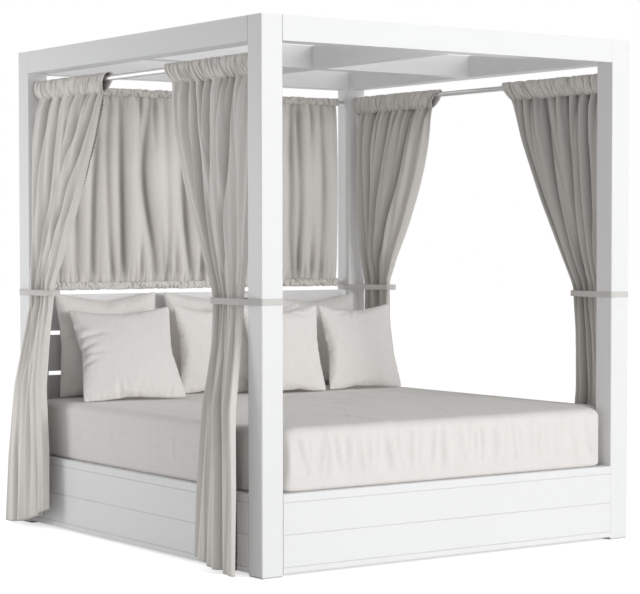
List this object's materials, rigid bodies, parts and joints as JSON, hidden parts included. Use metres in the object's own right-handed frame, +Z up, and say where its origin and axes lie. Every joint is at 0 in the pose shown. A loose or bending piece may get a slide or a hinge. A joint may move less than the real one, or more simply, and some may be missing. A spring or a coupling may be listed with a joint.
{
  "type": "outdoor daybed with canopy",
  "caption": "Square outdoor daybed with a four-post canopy frame, clad base, thick mattress, loose cushions, tied-back side curtains and a screen behind the headboard.",
  "frame": {"origin": "floor point under the middle of the frame", "axes": "+X to the right seen from the foot end, +Y from the foot end to the headboard, +Z up"},
  "size_m": [2.0932, 2.1093, 2.2],
  "materials": {
    "frame_paint": "smooth matt white powder coat",
    "foot_glide": "plain matt glide",
    "deck_paint": "matt powder coat, out of sight",
    "rod_metal": "satin round tube",
    "mattress_cover": "close plain weave outdoor cloth, piped seams",
    "back_cushion_cover": "close plain weave outdoor cloth",
    "cushion_cover": "close plain weave outdoor cloth",
    "curtain_cloth": "light open weave curtain cloth",
    "screen_cloth": "light open weave curtain cloth",
    "tieback_webbing": "flat webbing"
  },
  "bodies": {
    "frame": {"post_front_left": "frame_paint", "foot_front_left": "foot_glide", "curtain_front_left": "curtain_cloth", "tieback_front_left": "tieback_webbing", "post_front_right": "frame_paint", "foot_front_right": "foot_glide", "curtain_front_right": "curtain_cloth", "tieback_front_right": "tieback_webbing", "post_back_left": "frame_paint", "foot_back_left": "foot_glide", "curtain_back_left": "curtain_cloth", "tieback_back_left": "tieback_webbing", "post_back_right": "frame_paint", "foot_back_right": "foot_glide", "curtain_back_right": "curtain_cloth", "tieback_back_right": "tieback_webbing", "roof_beam_front": "frame_paint", "base_trim_front": "frame_paint", "lower_plank_front": "frame_paint", "upper_plank_front": "frame_paint", "cap_rail_front": "frame_paint", "roof_beam_right": "frame_paint", "base_trim_right": "frame_paint", "lower_plank_right": "frame_paint", "upper_plank_right": "frame_paint", "cap_rail_right": "frame_paint", "roof_beam_back": "frame_paint", "base_trim_back": "frame_paint", "lower_plank_back": "frame_paint", "upper_plank_back": "frame_paint", "cap_rail_back": "frame_paint", "roof_beam_left": "frame_paint", "base_trim_left": "frame_paint", "lower_plank_left": "frame_paint", "upper_plank_left": "frame_paint", "cap_rail_left": "frame_paint", "crossbeam_wide": "frame_paint", "crossbeam_front": "frame_paint", "crossbeam_back": "frame_paint", "headboard_plank_1": "frame_paint", "headboard_plank_2": "frame_paint", "headboard_plank_3": "frame_paint", "headboard_plank_4": "frame_paint", "slatted_deck": "deck_paint", "deck_bearer": "deck_paint", "centre_leg": "deck_paint", "curtain_rod_left": "rod_metal", "curtain_rod_right": "rod_metal", "screen_rod_top": "rod_metal", "screen_rod_bottom": "rod_metal", "back_screen": "screen_cloth"},
    "mattress_set": {"mattress": "mattress_cover", "back_cushion_left": "back_cushion_cover", "back_cushion_middle": "back_cushion_cover", "back_cushion_right": "back_cushion_cover", "cushion_rear_left": "cushion_cover", "cushion_rear_right": "cushion_cover"},
    "corner_cushion": {"cushion_corner": "cushion_cover"},
    "middle_cushion": {"cushion_middle": "cushion_cover"},
    "right_cushion": {"cushion_right": "cushion_cover"}
  },
  "joints": [
    {"name": "mattress_lift", "type": "slide", "parent": "frame", "child": "mattress_set", "axis": [0, 0, 1], "range_m": [0, 0.1]},
    {"name": "corner_cushion_lift", "type": "slide", "parent": "mattress_set", "child": "corner_cushion", "axis": [0, 0, 1], "range_m": [0, 0.3]},
    {"name": "middle_cushion_lift", "type": "slide", "parent": "mattress_set", "child": "middle_cushion", "axis": [0, 0, 1], "range_m": [0, 0.3]},
    {"name": "right_cushion_lift", "type": "slide", "parent": "mattress_set", "child": "right_cushion", "axis": [0, 0, 1], "range_m": [0, 0.3]}
  ]
}
